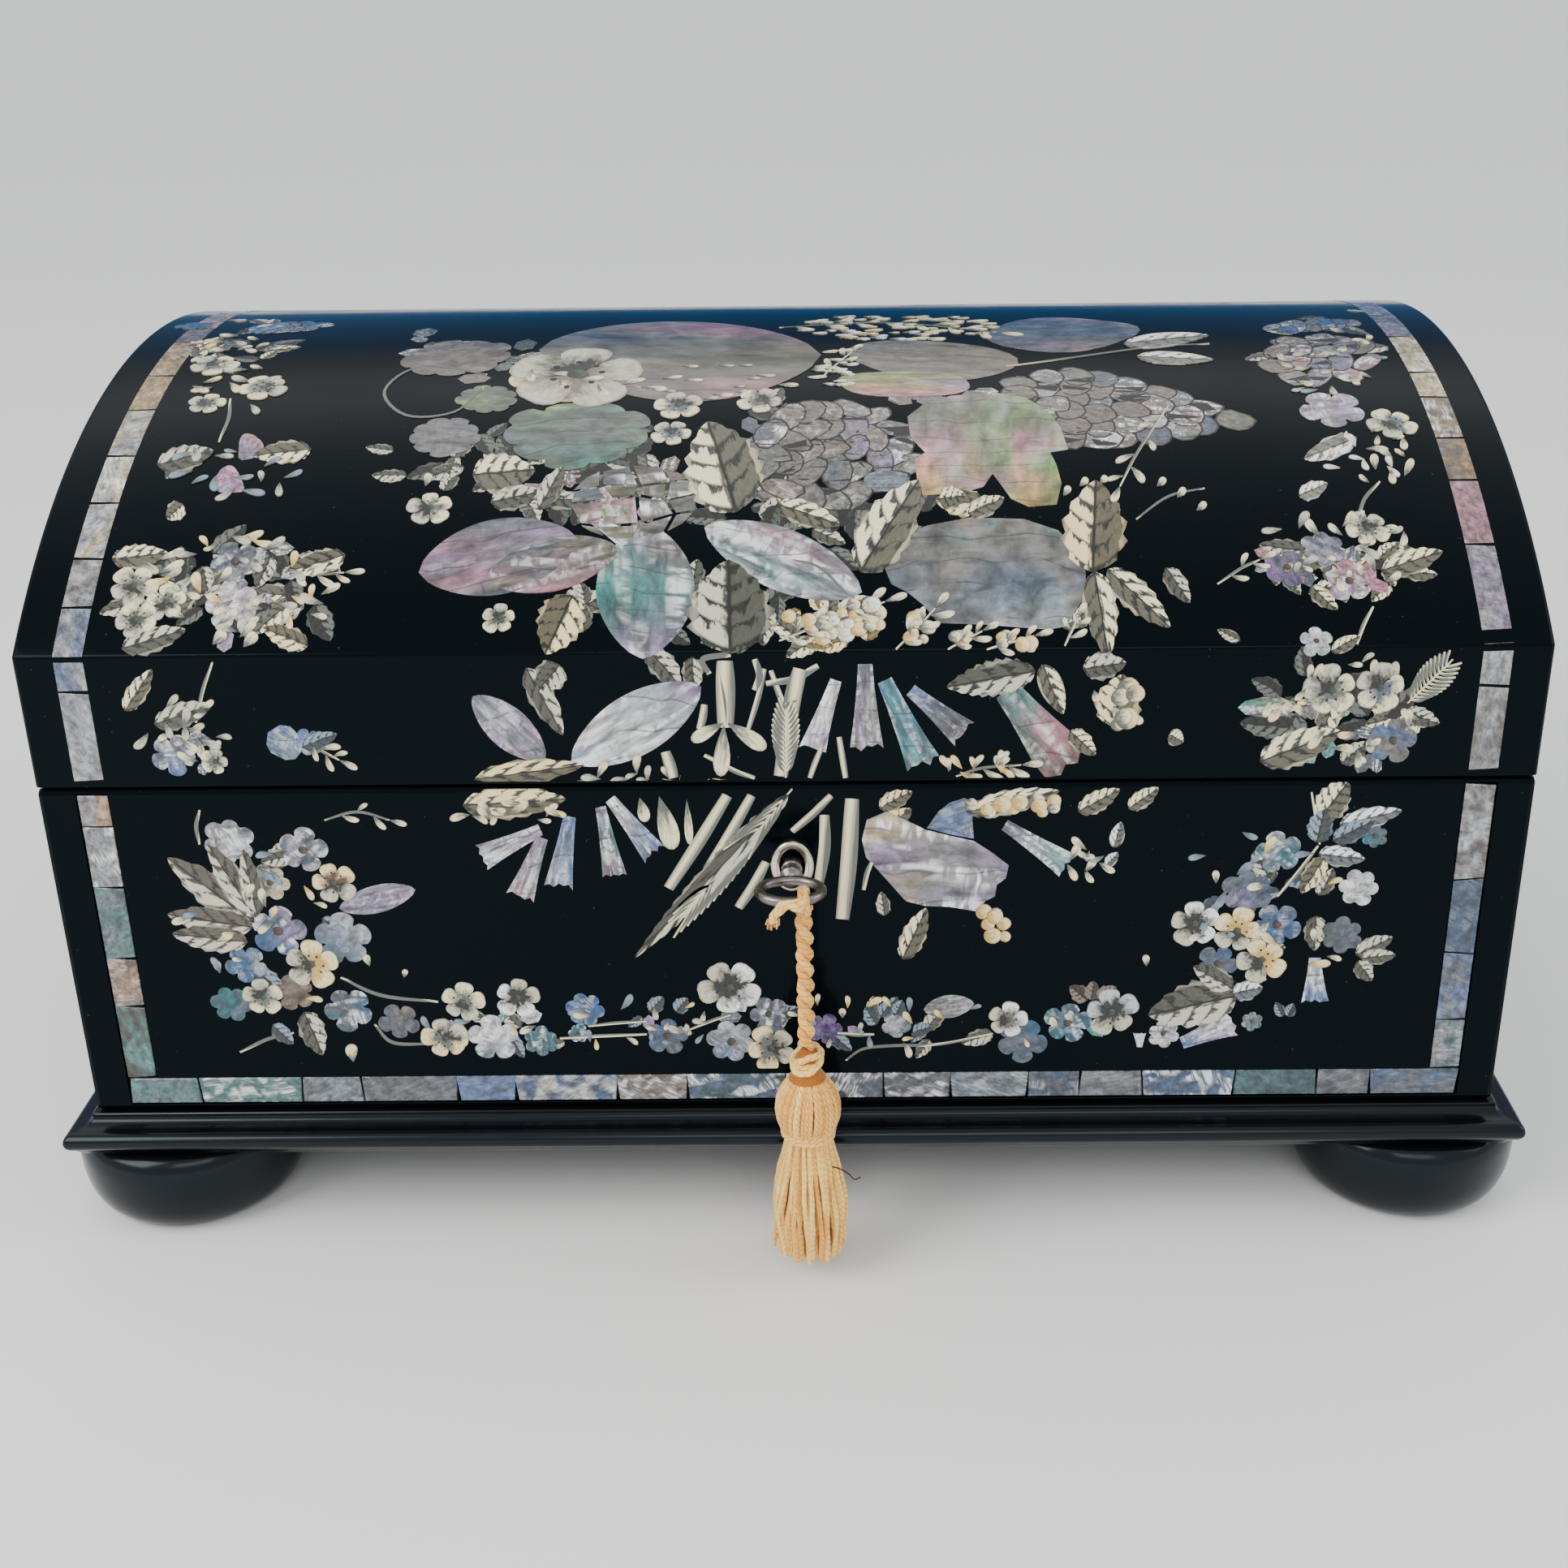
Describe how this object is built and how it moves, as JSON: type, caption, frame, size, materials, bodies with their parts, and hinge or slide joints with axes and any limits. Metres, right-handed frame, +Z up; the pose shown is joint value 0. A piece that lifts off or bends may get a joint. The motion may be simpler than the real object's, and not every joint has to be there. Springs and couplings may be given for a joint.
{
  "type": "papier-mache sewing box",
  "caption": "Dome-lidded papier-mache sewing box with pearl inlay, hinged at the back, on a moulded base with bun feet; key with tassel in the front lock.",
  "frame": {"origin": "middle of the object's footprint, in the plane that the feet stand on, measured without the cord and tassel", "axes": "+X along the box's width, to the right seen from the front; +Y towards the hinged back; +Z up"},
  "size_m": [0.322, 0.2578, 0.1759],
  "materials": {
    "lacquer": "gloss",
    "pearl": "polished",
    "ebonised_wood": "satin",
    "nickel": "polished",
    "steel": "satin",
    "brass": "satin",
    "yarn": "matte"
  },
  "bodies": {
    "box": {"body": "lacquer", "body_band_left": "pearl", "body_band_right": "pearl", "body_band_bottom": "pearl", "base_moulding": "ebonised_wood", "foot_front_left": "ebonised_wood", "foot_front_right": "ebonised_wood", "foot_back_left": "ebonised_wood", "foot_back_right": "ebonised_wood", "escutcheon": "nickel", "key": "steel", "lock_case": "brass", "cord_loop": "yarn", "tassel_cord": "yarn", "tassel": "yarn", "hinge_left_body_leaf": "brass", "hinge_left_pin": "brass", "hinge_right_body_leaf": "brass", "hinge_right_pin": "brass"},
    "lid": {"lid": "lacquer", "lid_band_left": "pearl", "lid_band_right": "pearl", "hinge_left_lid_leaf": "brass", "hinge_right_lid_leaf": "brass"}
  },
  "joints": [
    {"name": "lid_hinge", "type": "hinge", "parent": "box", "child": "lid", "pos_m": [0, 0.1212, 0.1049], "axis": [-1, 0, 0], "range_deg": [0, 100]}
  ]
}
